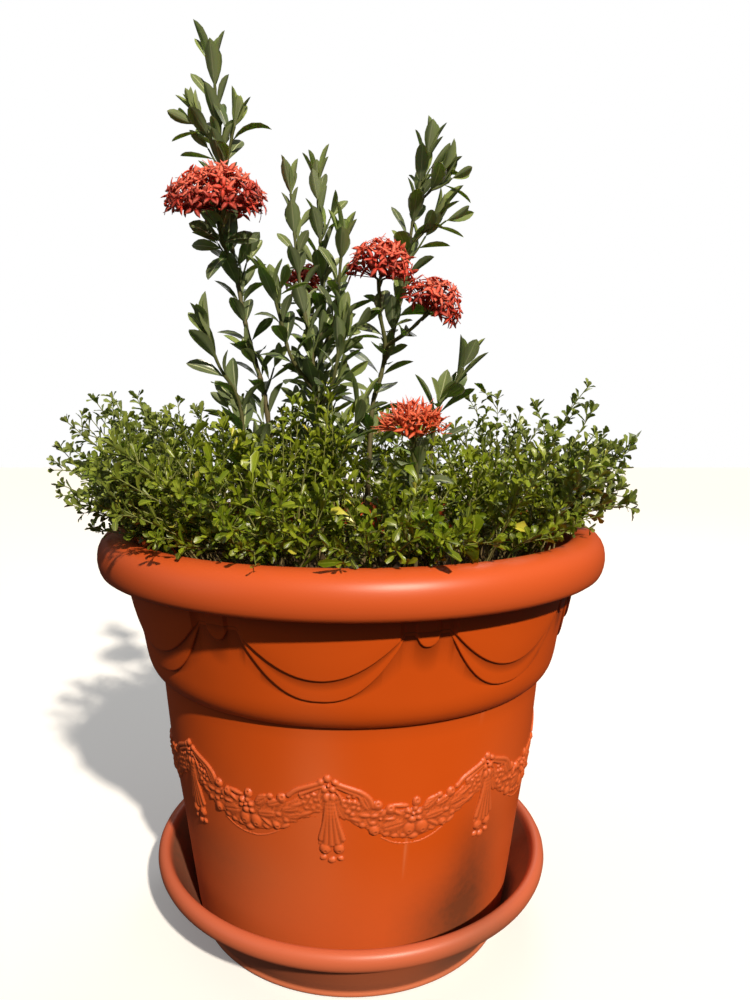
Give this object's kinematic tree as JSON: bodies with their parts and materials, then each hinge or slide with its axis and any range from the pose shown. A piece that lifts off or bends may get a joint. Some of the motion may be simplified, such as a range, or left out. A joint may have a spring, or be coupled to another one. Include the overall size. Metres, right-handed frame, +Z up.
{
  "type": "potted ixora",
  "caption": "Flame-red ixora in a rolled-rim planter with moulded swags and garland, underplanted with small-leaved green bushes, standing in its saucer.",
  "frame": {"origin": "centre of the saucer's flat underside", "axes": "+Z up, -Y towards the front, +X to the right as seen from the front"},
  "size_m": [0.5735, 0.5489, 0.9007],
  "materials": {
    "pot_plastic": "moulded polypropylene, satin, terracotta orange",
    "saucer_plastic": "moulded polypropylene, satin, browner than the pot",
    "soil": "moist peat and bark potting mix, matt and crumbly",
    "ixora_leaf": "glossy dark green leaf on a green to brown stem",
    "ixora_flower": "soft matt red petals",
    "bush_leaf": "satin light green leaf"
  },
  "bodies": {
    "root": {"pot": "pot_plastic", "saucer": "saucer_plastic", "soil": "soil", "ixora_tall": "ixora_leaf", "ixora_left": "ixora_leaf", "ixora_centre": "ixora_leaf", "ixora_middle": "ixora_leaf", "ixora_back": "ixora_leaf", "ixora_right": "ixora_leaf", "ixora_side": "ixora_leaf", "ixora_front": "ixora_leaf", "bloom_tall": "ixora_flower", "bloom_centre": "ixora_flower", "bloom_right": "ixora_flower", "bloom_front": "ixora_flower", "bloom_back": "ixora_flower", "bush_01": "bush_leaf", "bush_02": "bush_leaf", "bush_03": "bush_leaf", "bush_04": "bush_leaf", "bush_05": "bush_leaf", "bush_06": "bush_leaf", "bush_07": "bush_leaf", "bush_08": "bush_leaf", "bush_09": "bush_leaf", "bush_10": "bush_leaf", "bush_11": "bush_leaf", "bush_12": "bush_leaf", "bush_13": "bush_leaf"}
  },
  "joints": []
}
